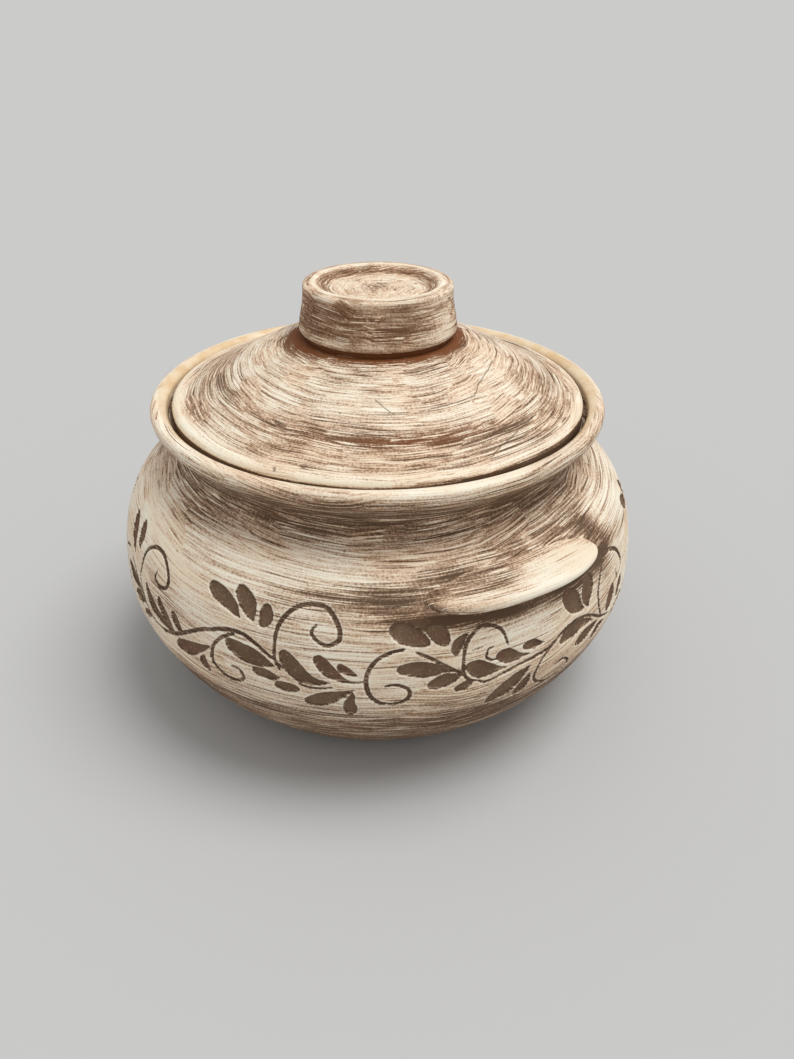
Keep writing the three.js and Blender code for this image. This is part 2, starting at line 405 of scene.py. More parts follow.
def smooth(piece, degrees):
    """Shades a piece smooth, and leaves edges sharper than the angle hard."""
    choose(piece)
    bpy.ops.object.shade_smooth_by_angle(angle=math.radians(degrees))


def apply_modifier(piece, kind, **settings):
    """Adds a modifier with its settings and applies it."""
    modifier = piece.modifiers.new(kind.title(), kind)
    for name, value in settings.items():
        setattr(modifier, name, value)
    choose(piece)
    bpy.ops.object.modifier_apply(modifier=modifier.name)


def vertex_values(piece, name):
    """A row of three numbers for each vertex: its place (co) or its normal."""
    values = np.empty(len(piece.data.vertices) * 3)
    piece.data.vertices.foreach_get(name, values)
    return values.reshape(-1, 3)


def polar(places):
    """Places in metres as degrees from the front, radius and height, both in mm."""
    x, y, z = np.asarray(places).T
    degrees = np.degrees(np.arctan2(y, x)) - FRONT_DEGREES
    return (degrees + 180) % 360 - 180, np.hypot(x, y) / MM, z / MM


def vertex_places(piece):
    """Each vertex as degrees from the front, radius and height."""
    return polar(vertex_values(piece, "co"))


def store(piece, name, values):
    """Keeps a number for each vertex under a name."""
    attribute = piece.data.attributes.new(name, "FLOAT", "POINT")
    attribute.data.foreach_set("value", np.asarray(values, dtype=np.float32))


def apart(degrees, other):
    """Difference of two angles, from -180 to 180."""
    return (degrees - other + 180) % 360 - 180


def patches(degrees, across, marks):
    """Sum of soft oval marks, each (degrees from the front, place across, half sizes, amount)."""
    total = np.zeros(len(degrees))
    for angle, place, half_angle, half_width, amount in marks:
        reach = (apart(degrees, angle) / half_angle) ** 2 + ((across - place) / half_width) ** 2
        total += amount * np.exp(-(reach**1.5))
    return total


# Carved scroll. A point is (degrees from the front, mm up the wall), and widths are in mm.

# Distance that stands for far from any cut
NO_CUT = 6.0
STEM_WIDTH = 1.9


def smoothed(places, steps=5):
    """More places on a smooth line through the given ones."""
    ends = np.array([places[0], *places, places[-1]], dtype=float)
    line = [ends[0]]
    for a, b, c, d in zip(ends, ends[1:], ends[2:], ends[3:]):
        for step in range(1, steps + 1):
            t = step / steps
            bend = (2 * a - 5 * b + 4 * c - d) * t * t + (3 * b - a - 3 * c + d) * t**3
            line.append(0.5 * (2 * b + (c - a) * t + bend))
    return np.array(line)


def stroke(points, width=STEM_WIDTH):
    """A carved line with narrow ends."""
    line = smoothed(points)
    share = np.linspace(0, 1, len(line))
    return line, 0.5 * width * (0.5 + 0.5 * np.sin(np.pi * share) ** 0.4)


def scoop(*places):
    """A scooped leaf, each place on its middle line with its width there."""
    line = smoothed(places, 3)
    return line[:, :2], np.maximum(0.5 * line[:, 2], 0.15)


def sprig(turn_degrees=0.0):
    """One repeat of the scroll: paired leaves, a rising curl, trailing leaves and a falling curl."""
    return [(points + (turn_degrees, 0), widths) for points, widths in rising_curl() + trailing_leaves()]


def rising_curl():
    """The upper half of a repeat: three leaves beside a curl that rises from the stem."""
    return [
        scoop(
            (-34, 88, 4.5), (-33, 87, 6.2), (-31, 85.5, 6.6), (-29, 83.5, 5.2), (-28, 81.5, 3),
            (-27, 80, 0.8),
        ),
        scoop(
            (-27.5, 90, 5), (-26.5, 88, 6.8), (-25.5, 86, 7), (-25, 83.5, 5.2), (-24.5, 81.5, 2.8),
            (-24, 80, 0.8),
        ),
        scoop((-21.5, 86, 4), (-21.5, 84.5, 5.4), (-21.5, 82.5, 5.4), (-22, 80.5, 3.8), (-22.5, 79, 1.2)),
        stroke([
            (-18.5, 62.5), (-19.5, 67), (-19.5, 74), (-19, 80), (-17.5, 85.5), (-15, 89.5), (-12.2, 90.8),
            (-10.2, 90.2), (-8.8, 88), (-7.8, 85), (-7.2, 81.5), (-7.5, 78), (-9.5, 76), (-11.5, 77.5),
            (-12.5, 80.5), (-11.5, 83.5),
        ]),
    ]


def trailing_leaves():
    """The lower half of a repeat: leaves along the stem, a falling curl and the leaves beside it."""
    return [
        scoop(
            (-17.5, 69.5, 4.5), (-17, 67.5, 6.4), (-16, 65, 7.2), (-14.5, 62, 6.6), (-12.5, 60, 4.2),
            (-9, 60, 0.6),
        ),
        scoop(
            (-11, 69.5, 4.6), (-10.3, 67.8, 5.6), (-9.3, 65.5, 5.6), (-8, 63.5, 4.2), (-6.8, 62.2, 2.2),
            (-5.5, 61.5, 0.8),
        ),
        scoop((-7, 67.5, 3), (-6.5, 66.5, 3.8), (-5.5, 65.5, 3), (-4, 64, 0.6)),
        stroke([(-7.5, 61.5), (-5, 61), (-2.5, 61.5)], 1.3),
        stroke([(-15, 58), (-13.5, 57), (-11, 57), (-8.5, 58)], 1.1),
        scoop(
            (-13, 49.5, 4.6), (-12, 50, 6.4), (-10.5, 51.5, 7), (-8.5, 53.5, 5.4), (-6.5, 55.5, 2.6),
            (-4.5, 57.5, 0.6),
        ),
        scoop((-5.5, 45.5, 4.6), (-5.5, 48, 5.4), (-5.5, 51, 4), (-5, 54.5, 2), (-5, 56.5, 0.5)),
        stroke([
            (4.5, 75), (3, 74.5), (1.5, 73.5), (-0.5, 71), (-2, 66.5), (-2.5, 61.5), (-2, 56), (-0.5, 52),
            (1.5, 50.5), (3.5, 51), (5, 53), (5.5, 55.5), (5, 58), (3, 60), (1, 59.5),
        ]),
        stroke([(6.5, 73.5), (8.5, 71.5), (11, 68), (13, 65), (15, 62)], 1.6),
        scoop(
            (4, 66.5, 4), (5.5, 66.5, 6), (7.5, 66, 7), (9.5, 65.5, 5.8), (11.5, 65, 3), (13.5, 63.5, 0.6),
        ),
        scoop(
            (9.5, 58.5, 3.6), (10.5, 59, 5.4), (12, 60, 6), (13.5, 60.5, 4.2), (14.5, 61, 2.2),
            (15.5, 61.5, 0.6),
        ),
        scoop((14.5, 55, 3), (15.5, 55.5, 4), (16.5, 56.5, 3.6), (17, 57, 1.8), (18, 57.5, 0.6)),
    ]


def left_sprig():
    """The repeat at the left of the picture, where the stem is longer."""
    return [
        scoop((-68, 91, 2), (-67, 89, 5), (-66, 86.5, 6.6), (-65, 83, 6.4), (-64, 80, 4), (-63, 77.5, 1.4)),
        scoop((-62, 91.5, 3), (-61.5, 89.5, 5.4), (-61, 87, 5.8), (-61, 84, 4.4), (-60.5, 81.5, 1.4)),
        stroke([
            (-57, 64), (-58.5, 70), (-58, 76), (-57, 83), (-55.5, 86.5), (-53.5, 88.5), (-51.5, 89),
            (-49.5, 88), (-47.5, 84.5), (-46.5, 80.5), (-47, 77), (-48.5, 75.5), (-50, 75.5), (-51.5, 77),
            (-51, 80.5),
        ]),
        scoop(
            (-55, 70, 2.4), (-54, 67, 5), (-52, 63.5, 6), (-49.5, 61, 4.8), (-46.5, 59.5, 2.6),
            (-44.5, 59, 0.8),
        ),
        scoop((-49.5, 70, 2), (-49, 67.5, 4.6), (-47.5, 64.5, 5.2), (-46, 62, 3.8), (-44.5, 60, 1)),
        scoop((-44.5, 68, 2.4), (-44, 67, 4.2), (-43.5, 65, 4.8), (-42.5, 63, 3.4), (-41.5, 61, 1)),
        stroke([
            (-57, 65), (-56, 60.5), (-54, 57.5), (-51.5, 56), (-48.5, 56), (-45.5, 57.5), (-42.5, 60.5),
            (-36.5, 68), (-33.5, 70.5), (-30.5, 73), (-28, 74), (-25.5, 73.5), (-23, 71), (-20, 67),
            (-18, 63.5),
        ]),
        stroke([
            (-28, 72.5), (-30, 70.5), (-31.5, 68), (-33, 64), (-33.5, 60), (-33.5, 56.5), (-32, 53),
            (-30, 51), (-28, 51), (-26.5, 53), (-26.5, 55.5), (-27.5, 57.5), (-29, 57.5),
        ]),
        scoop((-43, 54, 4.6), (-42, 55, 6.4), (-40, 56, 7), (-38, 58, 5.4), (-36, 60, 3.2), (-34, 62.5, 1)),
        scoop((-35.5, 57, 0.8), (-36, 55, 3), (-36, 53, 4.6), (-35.5, 51, 3.6), (-35, 49, 1)),
        scoop(
            (-29, 68, 4.4), (-28, 67, 6.6), (-26, 66, 7.8), (-24, 65.5, 7.2), (-22, 64.5, 5.2),
            (-19.5, 63.5, 0.6),
        ),
        scoop((-23.5, 59.5, 3.4), (-22.5, 59, 4.6), (-21, 59, 4.4), (-19.5, 58.5, 2.4), (-18.5, 59, 0.5)),
        scoop((-19, 55, 3.4), (-18, 55, 4.6), (-16.5, 55, 4.4), (-15.5, 55, 2.8), (-15, 55.5, 0.8)),
    ]


def lug_sprigs():
    """The crowded repeats below and beside the lug."""
    return [
        scoop((3, 82.5, 5), (4, 81.5, 7.4), (5, 80.5, 8), (6.5, 79, 6.8), (8, 77.5, 4.4), (9, 76.5, 1.4)),
        scoop(
            (9.5, 81.5, 4.4), (10.5, 80.5, 6.4), (11, 79.5, 7), (11.5, 78, 6), (12, 76.5, 4),
            (12.5, 75.5, 1.4),
        ),
        scoop((14, 71.5, 2.8), (14, 73, 4), (14.5, 75, 4.2), (15.5, 77, 2.6), (16.5, 78.5, 0.6)),
        stroke([
            (18, 57), (16.5, 58.5), (15.5, 62), (15.5, 69), (16, 74), (17, 77), (18.5, 79.5), (20, 80),
            (22, 78.5), (23.5, 75.5), (24.5, 69.5),
        ], 1.7),
        stroke([(21.5, 70.5), (20.5, 70), (20, 68), (20, 66.5), (21, 65), (22.5, 64.5)], 1.2),
        stroke([(17, 71), (19.5, 71.5)], 0.9),
        scoop(
            (17, 64, 4.6), (18, 63, 7), (19, 61.5, 7.6), (21, 60.5, 5.2), (22.5, 60, 2.4),
            (24.5, 59.5, 0.5),
        ),
        scoop(
            (23, 65.5, 4.4), (24, 65, 6.4), (25, 64, 6.2), (26.5, 63, 3.8), (28, 62.5, 1.8),
            (29.5, 62, 0.5),
        ),
        scoop((28.5, 66, 3.2), (29.5, 66, 4.4), (30.5, 65.5, 4.2), (31.5, 65, 2.4), (33, 64.5, 0.5)),
        stroke([
            (18.5, 57), (19.5, 55.5), (21, 55.5), (23, 56.5), (27, 58.5), (31, 59.5), (33, 60), (35, 61),
            (37, 63.5), (39.5, 65.5), (42.5, 66), (45.5, 64.5), (48, 62), (51.5, 57.5), (56, 54),
        ], 1.7),
        scoop(
            (21.5, 42, 3), (22.5, 44, 6), (24, 46.5, 8.4), (25.5, 49, 8.4), (27, 52, 6.2), (28.5, 54, 3.4),
            (30, 56, 0.8),
        ),
        scoop((28, 40.5, 2.6), (28.5, 42.5, 5.4), (29, 45, 6), (29.5, 48.5, 4.2), (30, 51.5, 0.8)),
        stroke([
            (36, 61.5), (34.5, 59.5), (33, 57), (32, 53.5), (31.5, 49.5), (32, 45.5), (34, 41.5),
            (36.5, 39.5), (39.5, 40), (41, 42), (41.5, 45.5), (40, 49), (38.5, 50), (37, 49),
        ], 1.5),
        scoop(
            (38, 60.5, 3.4), (39, 61.5, 5.6), (40.5, 62, 6.2), (43, 62.5, 5.4), (46, 61.5, 2.8),
            (48, 60, 0.6),
        ),
        scoop((43, 54, 3), (44, 54.5, 5.2), (45, 55, 6), (47, 56, 5), (49, 56.5, 2.8), (50.5, 57, 0.6)),
        scoop((49, 50, 2.6), (50, 51.5, 5), (51, 53, 4.2), (53.5, 53.5, 0.8)),
        scoop((39.5, 79.5, 5), (40, 78, 7.6), (41, 75.5, 9), (42, 72.5, 6.4), (44, 69.5, 1.8)),
        scoop((47, 81, 3), (46.5, 79, 6.4), (46, 76, 8), (45.5, 73, 6), (46, 69, 1.2)),
        stroke([
            (51.5, 58.5), (50.5, 63), (50, 67.5), (50, 72), (51, 76.5), (52, 80), (53.5, 82.5), (55.5, 84),
            (57.5, 83), (59.5, 81), (61, 78), (62.5, 72), (61.5, 68.5), (59.5, 67.5), (59, 72),
        ]),
        scoop((56.5, 67, 1.6), (56.5, 65, 5.4), (56, 62, 8), (55.5, 59, 7), (55.5, 56.5, 2.4)),
        scoop((62.5, 65, 2), (62, 63, 5.6), (61.5, 61, 7), (61, 59, 5.4), (61, 57, 1.8)),
    ]


def scroll():
    """All carved marks round the belly. The repeats away from the picture are evenly spaced."""
    first_hidden, pitch, hidden_repeats = 72.0, 36.13, 6
    beside_stem = 5
    marks = left_sprig() + sprig() + lug_sprigs()
    marks += [(points + (first_hidden, 0), widths) for points, widths in trailing_leaves()[beside_stem:]]
    for i in range(1, hidden_repeats + 1):
        marks += sprig(first_hidden + pitch * i)
    return marks


def cut_distance(degrees, run, radius, marks):
    """How far each point lies from the nearest carved edge, in mm near the edge and negative in a cut.

    It is rounded at the middle of a cut, so that the coarse mesh still shows even edges.
    """
    distance = np.full(len(degrees), NO_CUT)
    margin = 5.0
    for points, half_widths in marks:
        offset = apart(degrees, points[0, 0]) + points[0, 0]
        low, high = points.min(axis=0) - margin, points.max(axis=0) + margin
        near = np.flatnonzero((offset > low[0]) & (offset < high[0]) & (run > low[1]) & (run < high[1]))
        scale = np.radians(1) * radius[near]
        x, y = offset[near] * scale, run[near]
        best = distance[near]
        for a, b, wide_a, wide_b in zip(points, points[1:], half_widths, half_widths[1:]):
            ax, bx = a[0] * scale, b[0] * scale
            dx, dy = bx - ax, b[1] - a[1]
            share = np.clip(((x - ax) * dx + (y - a[1]) * dy) / (dx * dx + dy * dy + 1e-9), 0, 1)
            gap_squared = (x - ax - share * dx) ** 2 + (y - a[1] - share * dy) ** 2
            half_width = wide_a + share * (wide_b - wide_a)
            best = np.minimum(best, (gap_squared - half_width**2) / (2 * half_width))
        distance[near] = best
    return distance


def wall_run(shape, heights):
    """Distance up the outer wall, in mm, of each height in mm. It reads 60 at 62 mm up."""
    wall_radius, wall_height = wall_in_mm(shape)
    along = lengths_along(list(zip(wall_radius, wall_height)))
    mark_run, mark_height = 60.0, 62.0
    return np.interp(heights, wall_height, along) - np.interp(mark_height, wall_height, along) + mark_run


def distance_on_wall(places, shape):
    """Distance of each place to the nearest carved edge, for places on the outer wall of the band."""
    degrees, radius, height = polar(places)
    wall_radius, wall_height = wall_in_mm(shape)
    outside = radius > np.interp(height, wall_height, wall_radius) - 2
    on_band = outside & (height > BAND_LOW / MM - 1) & (height < BAND_HIGH / MM + 1)
    distance = np.full(len(degrees), NO_CUT)
    run = wall_run(shape, height[on_band])
    distance[on_band] = cut_distance(degrees[on_band], run, radius[on_band], scroll())
    return distance


def refine_near_cuts(piece, shape, reach):
    """Divides the faces of the wall that lie in a cut or within reach, in mm, of its edge."""
    choose(piece)
    bpy.ops.object.mode_set(mode="EDIT")
    bpy.ops.mesh.select_mode(type="FACE")
    bpy.ops.mesh.select_all(action="DESELECT")
    shell = bmesh.from_edit_mesh(piece.data)
    centres = [tuple(face.calc_center_median()) for face in shell.faces]
    for face, distance in zip(shell.faces, distance_on_wall(centres, shape)):
        face.select_set(bool(distance < reach))
    bmesh.update_edit_mesh(piece.data)
    bpy.ops.mesh.subdivide(number_cuts=1)
    bpy.ops.object.mode_set(mode="OBJECT")


def carve(piece, shape):
    """Cuts the scroll into the wall and keeps the distance to its edges for the finish."""
    wide_reach, close_reach, wall_slope = 2.6, 1.3, 0.38
    refine_near_cuts(piece, shape, wide_reach)
    refine_near_cuts(piece, shape, close_reach)
    distance = distance_on_wall(vertex_values(piece, "co"), shape)
    store(piece, "carve", distance)
    depth = 1 - np.exp(np.minimum(distance, 0) / wall_slope)
    group = piece.vertex_groups.new(name="carving")
    for index in np.flatnonzero(depth > 0.01):
        group.add([int(index)], float(depth[index]), "REPLACE")
    apply_modifier(
        piece, "DISPLACE", vertex_group="carving", strength=-shape.carving_depth, mid_level=0,
        direction="NORMAL",
    )
    piece.vertex_groups.clear()


# Slip coverage, from 0 for bare clay to 1 for thick slip. In places, noted below, coverage also stands for
# painted shade or a painted highlight. Places and sizes are in mm and degrees.

# (height, coverage)
# Low coverage near the foot and at the neck under the lip is partly bare brown clay and partly painted shade.
BOWL_COVER = (
    (0, 0.10), (8, 0.18), (20, 0.22), (32, 0.28), (40, 0.42), (48, 0.66), (56, 0.84), (86, 0.86),
    (93, 0.82), (98, 0.79), (102, 0.74), (105, 0.60), (108, 0.36), (113, 0.26), (118, 0.24), (123, 0.34),
    (126, 0.50), (128.2, 0.76), (129.6, 0.90), (130.5, 0.94),
)
# (degrees from the front, height, half sizes, amount)
SHOULDER_MARKS = (
    (-40, 102, 12, 4, -0.02), (-24, 99.5, 18, 1.3, 0.18), (-14, 95, 16, 2.2, -0.06), (-50, 89, 15, 7, 0.28),
    (-60, 98, 9, 5, 0.18), (-12, 92.5, 8, 2.6, -0.16), (69, 97, 9, 6, 0.20), (30, 38, 26, 9, -0.14),
    (-40, 36, 26, 7, -0.14), (66, 88, 7, 4, -0.14), (-49, 79, 7, 6, -0.16), (-43, 71, 7, 5, -0.14),
    (54, 79, 4, 5, -0.24), (14, 50, 8, 3, -0.18), (-26, 53, 5, 3, -0.14), (14, 74, 4, 3, -0.14),
    (120, 100, 24, 3.6, -0.25), (168, 101, 18, 3.2, -0.25), (-110, 100, 26, 3.8, -0.25),
    (130, 86, 20, 5, 0.1), (50, 129, 26, 1.6, -0.22), (-20, 128.5, 14, 1, -0.14),
    (-150, 129, 30, 1.6, -0.2),
)
# The same, measured from the middle of a lug
# The dark marks at about 80 to 86 mm, under the lug, are partly brown clay and partly a painted shadow cast
# by the lug.
LUG_MARKS = (
    (-26, 92, 8, 5.6, -0.46), (-17, 98, 7, 3, -0.30), (-34, 94.5, 9, 3, -0.24), (-20, 85.4, 9, 2.6, -0.57),
    (23.5, 91, 5, 9, -0.60), (18, 99.5, 9, 4, -0.34), (2, 102, 11, 3, -0.12), (5.5, 102.2, 1.4, 1.3, 0.40),
    (3, 86, 26, 2.8, -0.75), (4, 83, 17, 2.2, -0.70), (12, 80, 9, 4, -0.34), (-2, 99, 18, 3.6, -0.25),
    (-14, 81, 6, 2, -0.2),
)
# (radius, coverage)
LID_COVER = (
    (30, 0.05), (34.5, 0.12), (37, 0.58), (44, 0.74), (56, 0.74), (66, 0.64), (76, 0.60), (81, 0.60),
    (82.5, 0.68), (84.3, 0.76), (85.8, 0.94), (88.5, 0.98),
)
# (degrees from the front, radius, half sizes, amount)
LID_MARKS = (
    (6, 70, 32, 3, -0.24), (-46, 68.6, 22, 1.6, -0.26), (22, 55.5, 14, 3.6, -0.14), (-5, 57, 20, 6, 0.10),
    (52, 75, 16, 3, -0.10), (52, 58, 22, 12, 0.12), (-75, 66, 24, 9, -0.12), (-70, 45, 14, 5, 0.10),
    (-75, 37, 26, 4.5, -0.42), (60, 36, 22, 2.5, -0.25), (150, 66, 50, 4, -0.14), (-150, 58, 40, 4, -0.12),
    (-60, 86, 50, 3, 0.20),
)
# The same, for how reddish the clay is
LID_WARM_MARKS = ((12, 70, 28, 3, 0.8), (20, 56, 16, 4, 0.6), (-70, 38, 26, 4, 0.7))
# (degrees from the front, height above the knob's foot, half sizes, amount)
# The mark at -55 darkens the knob's left side as painted shade; the marks at 45 and 60 lighten its right
# side, partly slip and partly painted light.
KNOB_MARKS = (
    (-55, 13, 40, 7, -0.16), (-40, 5, 18, 1.6, 0.3), (45, 6, 20, 3, 0.26), (60, 14, 20, 8, 0.24),
    (4, 4.5, 14, 1.4, 0.2),
)
# (height above the knob's foot, coverage)
KNOB_SIDE_COVER = (
    (1.8, 0.05), (2.6, 0.42), (4, 0.56), (6, 0.42), (14, 0.41), (18.5, 0.46), (20, 0.62), (21, 0.7),
)
# Scratches and chips in the lid: a width in mm, then a line through (degrees from the front, radius)
LID_SCRATCHES = (
    (0.22, ((71, 50), (60.5, 51.5), (48, 54), (40.5, 58), (34, 58), (27, 58.5), (20.5, 58.5))),
    (0.22, ((56.5, 75), (44.5, 76.5), (30.5, 82))),
    (0.22, ((-0.5, 53), (5, 58.5))),
    (0.5, ((-25.5, 85.5), (-25, 86.5))),
    (0.6, ((-19, 82), (-18.5, 82.5))),
)


def store_finish(piece, run, cover, glaze=0.0, warm=0.0):
    """Keeps what the finish needs at each vertex."""
    count = len(piece.data.vertices)
    # cover holds slip coverage together with the painted shade and painted highlights set in the cover
    # functions.
    for name, values in (("run", run), ("cover", np.clip(cover, 0, 1.3)), ("glaze", glaze), ("warm", warm)):
        store(piece, name, np.broadcast_to(values, count))


def cover_bowl(piece, shape, outline):
    """Slip outside, glaze inside and on the inner half of the lip, and bare clay in the lid's seat that is
    partly a painted shade in the gap under the lid.
    """
    degrees, radius, height = vertex_places(piece)
    cover = np.interp(height, *zip(*BOWL_COVER))
    cover += patches(degrees, height, SHOULDER_MARKS)
    for middle in (LUG_DEGREES, LUG_DEGREES + 180):
        cover += patches(degrees, height, [(middle + mark[0], *mark[1:]) for mark in LUG_MARKS])
    wall_radius, wall_height = wall_in_mm(shape)
    neck_foot, floor_level, lip_foot, lip_outside, half_wall = 104, 5, 127.5, 96, 3
    seat_low, seat_high, seat_bare_and_shade = 123, 127.2, 0.05
    edge_in_front, edge_further_back, edge_fade = 91.2, 3.4, 1.2
    below_neck = np.interp(height, wall_height, wall_radius) - half_wall
    in_neck = np.interp(height, (neck_foot, 110, 124, 130), (87, 83, 89, 93))
    inside = (radius < np.where(height < neck_foot, below_neck, in_neck)) & (height > floor_level)
    glaze_edge = edge_in_front + edge_further_back * np.clip((np.abs(degrees) - 45) / 45, 0, 1)
    on_lip = (height > lip_foot) & (radius < lip_outside)
    glaze = np.where(on_lip, np.clip((glaze_edge - radius) / edge_fade, 0, 1), inside.astype(float))
    # The lid's seat: bare dark clay, partly unglazed and partly painted shade in the gap.
    in_seat = inside & (height > seat_low) & (height < seat_high)
    cover[in_seat] = seat_bare_and_shade
    glaze[in_seat] = 0
    store_finish(piece, run_along(outline, radius, height), cover, glaze)


def cover_lid(piece, shape, ledge, outline):
    """Slip on top and on the upper edge of the brim, the lower edge of the brim dark as partly bare clay and
    partly painted shade in the gap, reddish clay under the knob, glaze below.
    """
    degrees, radius, height = vertex_places(piece)
    cover = np.interp(radius, *zip(*LID_COVER)) + patches(degrees, radius, LID_MARKS)
    gap_shade_top, gap_shade_rise, higher_at, higher_span, fade = 4.2, 1.2, 42, 28, 0.6
    rim_radius, red_radius, red_fade = 87, 37.5, 2
    # The lower edge of the brim, down in the gap at the rim, is left dark: partly bare clay, partly painted
    # shade. It reaches higher round one side.
    gap_shade_edge = ledge / MM + gap_shade_top
    gap_shade_edge += gap_shade_rise * np.exp(-((apart(degrees, higher_at) / higher_span) ** 2))
    out_of_gap_shade = np.clip((height - gap_shade_edge) / fade, 0, 1)
    cover = cover * np.where(radius > rim_radius, out_of_gap_shade, 1)
    facing_down = (vertex_values(piece, "normal")[:, 2] < -0.2) & (radius < shape.radius / MM - 1)
    warm = np.clip((red_radius - radius) / red_fade, 0, 1)
    warm += patches(degrees, radius, LID_WARM_MARKS)
    store_finish(piece, run_along(outline, radius, height), cover, facing_down, np.clip(warm, 0, 1))


def cover_knob(piece, shape, outline):
    """Thin slip on the side, thick slip on the crown, and reddish clay in the groove and the dish."""
    degrees, radius, height = vertex_places(piece)
    base, top = KNOB_LOW.z / MM, KNOB_HIGH.z / MM
    up = height - base
    side = np.interp(up, *zip(*KNOB_SIDE_COVER)) + patches(degrees, up, KNOB_MARKS)
    dish_edge = shape.dish_radius / MM
    crown = np.interp(
        radius, (0, 4, 8, 16, dish_edge - 5, dish_edge - 2.5, dish_edge, dish_edge + 1.8, 28.5, 30.5),
        (0.42, 0.54, 0.74, 0.80, 0.74, 0.34, 0.50, 1.05, 0.52, 0.66),
    )
    on_top = (height > top - 4) & (radius < shape.knob_top_radius / MM - 1.2)
    groove = np.clip((base + 3.0 - height) / 1.0, 0, 1)
    dish_wall = 0.5 * np.exp(-(((radius - dish_edge + 2) / 2) ** 2)) * on_top
    warm = np.clip(groove + dish_wall + np.where(on_top, 0, 0.35), 0, 1)
    store_finish(piece, run_along(outline, radius, height), np.where(on_top, crown, side), 0.0, warm)


def cover_lug(piece, middle, wall_radius, wall_height):
    """Slip that is thickest on the nose of a lug and, partly as a painted highlight, at one end; thin at the
    wall; and darkened on the underside as a painted shade.
    """
    degrees, radius, height = vertex_places(piece)
    across = apart(degrees, middle)
    gap = radius - np.interp(height, wall_height, wall_radius)
    reach = np.clip(gap / 9.5, 0, 1)
    # One end of the lug takes extra coverage up to the cream tone: partly thick slip, partly a painted
    # highlight.
    highlit_end = np.clip((across + 5) / 7, 0, 1)
    start = 0.40 - 0.32 * highlit_end
    thick = np.clip((reach - start) / (0.50 - 0.20 * highlit_end), 0, 1)
    far_end = np.clip((across - 7) / 7, 0, 1)
    cover = 0.46 + 0.14 * highlit_end + (0.42 + 0.08 * highlit_end) * thick + 0.16 * far_end
    # Painted shade: darkens the lug's underside.
    cover *= np.interp(height, (86.0, 88.8, 90.6), (0.10, 0.30, 1.0))
    cover += patches(across, radius, ((-20.5, 108, 3, 5, -0.12), (24, 108, 1.6, 8, -0.3)))
    smear = np.exp(-(((gap - 0.5) / 0.7) ** 2)) * np.clip((12 - across) / 6, 0, 1)
    cover += 0.75 * smear * (height < 89)
    run = 0.1 - (radius - 100) * MM * 0.9 + (height - 98) * MM * 0.5
    store_finish(piece, run, cover)


# Lugs

LUG_TOP = 6.6
LUG_BOTTOM = -7.6


def lug_section(wall_radius, wall_height, height):
    """Ring of a lug's section at its middle: (outward, upward) in mm from where its nose meets the wall."""
    anchor = np.interp(height, wall_height, wall_radius)

    def on_wall(up, sunk):
        return (float(np.interp(height + up, wall_height, wall_radius) - anchor) - sunk, up)

    root_depth = 0.12
    top_root, top_inside = on_wall(LUG_TOP, root_depth), on_wall(LUG_TOP - 1.2, 1.6)
    low_root, low_inside = on_wall(LUG_BOTTOM, root_depth), on_wall(LUG_BOTTOM + 1.2, 2.0)
    leaving = on_wall(LUG_TOP - 3.0, -0.5)
    shoulder, under = (7.6, 2.8), (8.6, -2.6)
    ring = [top_root]
    ring += curve(top_root, leaving, (2.5, 3.7), shoulder, 9)
    ring += curve(shoulder, (10.8, 1.9), (11.4, -0.8), under, 7)
    ring += curve(under, (6.4, -5.0), on_wall(LUG_BOTTOM + 3.0, -1.4), low_root, 7)
    return [*ring, low_inside, top_inside]


def model_lug(name, middle_degrees, shape, wall_radius, wall_height):
    """Sweeps the section round the wall and draws its ends down into the wall."""
    ring = lug_section(wall_radius, wall_height, shape.height / MM)
    anchor_radius = float(np.interp(shape.height / MM, wall_height, wall_radius)) * MM
    steps, end_size, end_squareness = 48, 0.04, 3.2
    deselect()
    bpy.ops.mesh.primitive_circle_add(
        vertices=len(ring), radius=0.01, fill_type="NOTHING", location=(0, 0, 0)
    )
    lug = bpy.context.object
    lug.name = name
    lug.data.name = name
    middle = math.radians(FRONT_DEGREES + middle_degrees)
    start = middle - shape.half_angle
    for vertex, (out, up) in zip(lug.data.vertices, ring):
        radius = anchor_radius + out * MM
        vertex.co = (radius * math.cos(start), radius * math.sin(start), shape.height + up * MM)
    bpy.ops.object.mode_set(mode="EDIT")
    bpy.ops.mesh.select_all(action="SELECT")
    bpy.ops.mesh.spin(steps=steps, angle=-2 * shape.half_angle, center=(0, 0, 0), axis=(0, 0, 1))
    bpy.ops.object.mode_set(mode="OBJECT")
    along = apart(vertex_places(lug)[0], middle_degrees) / math.degrees(shape.half_angle)
    stations = np.round((along + 1) * steps / 2).astype(int)
    bpy.ops.object.mode_set(mode="EDIT")
    bpy.ops.mesh.select_mode(type="VERT")
    for station in range(steps + 1):
        place = 2 * station / steps - 1
        size = max(end_size, (1 - abs(place) ** end_squareness) ** 0.5)
        shell = bmesh.from_edit_mesh(lug.data)
        bpy.ops.mesh.select_all(action="DESELECT")
        shell.verts.ensure_lookup_table()
        for vertex, vertex_station in zip(shell.verts, stations):
            vertex.select_set(bool(vertex_station == station))
        shell.select_flush_mode()
        bmesh.update_edit_mesh(lug.data)
        angle = middle + place * shape.half_angle
        anchor = (anchor_radius * math.cos(angle), anchor_radius * math.sin(angle), shape.height)
        bpy.ops.transform.resize(value=(size, size, size), center_override=anchor)
        if station in (0, steps):
            bpy.ops.mesh.edge_face_add()
    bpy.ops.mesh.select_all(action="SELECT")
    bpy.ops.mesh.normals_make_consistent(inside=False)
    bpy.ops.object.mode_set(mode="OBJECT")
    apply_modifier(lug, "SUBSURF", levels=2, render_levels=2)
    clouds = bpy.data.textures.new("hand marks", "CLOUDS")
    clouds.noise_scale = 0.016
    apply_modifier(
        lug, "DISPLACE", texture=clouds, texture_coords="GLOBAL", strength=shape.roughness, mid_level=0.5
    )
    return lug


# Shader building

